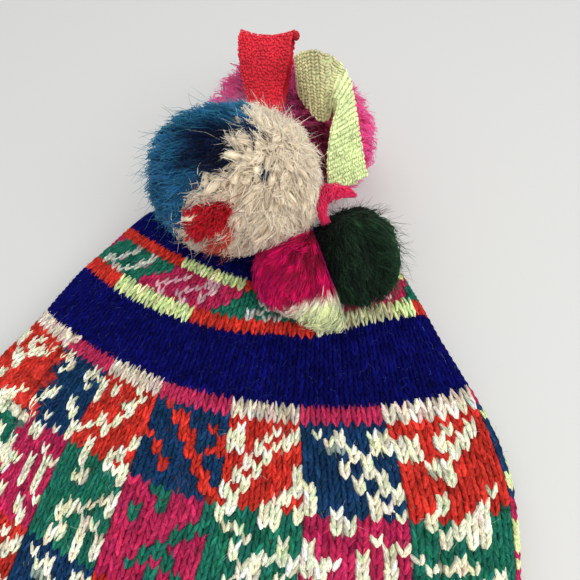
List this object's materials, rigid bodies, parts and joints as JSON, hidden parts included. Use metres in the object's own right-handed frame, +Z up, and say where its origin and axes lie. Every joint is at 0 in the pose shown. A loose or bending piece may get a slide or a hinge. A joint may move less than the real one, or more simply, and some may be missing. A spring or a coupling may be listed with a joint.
{
  "type": "knitted hat",
  "caption": "Conical knitted hat with ear flaps, lying flat, its tip dressed with yarn pompoms, tufts and woven tape loops.",
  "frame": {"origin": "on the surface under the middle of the hat's bounding box, as it lies", "axes": "+Z up from the surface, +Y towards the tip with the pompoms, -Y towards the rim and the ear flaps, +X to the right seen from above"},
  "size_m": [0.229, 0.3942, 0.0909],
  "materials": {
    "navy_wool": "matt stranded stockinette",
    "knitted_flap": "matt stranded stockinette",
    "cream_and_blue_yarn": "cut wool yarn",
    "pink_yarn": "cut wool yarn",
    "pink_tuft_yarn": "cut wool yarn",
    "dark_green_yarn": "cut wool yarn",
    "green_tape": "ribbed woven tape",
    "red_tape": "napped woven tape",
    "pink_tie_yarn": "twisted wool yarn"
  },
  "bodies": {
    "root": {"knitted_crown": "navy_wool", "ear_flap_left": "knitted_flap", "ear_flap_right": "knitted_flap", "large_pompom": "cream_and_blue_yarn", "pink_pompom": "pink_yarn", "pink_tuft": "pink_tuft_yarn", "green_tuft": "dark_green_yarn", "green_tape_loop": "green_tape", "red_tape_loop": "red_tape", "pink_yarn_tie": "pink_tie_yarn"}
  },
  "joints": []
}
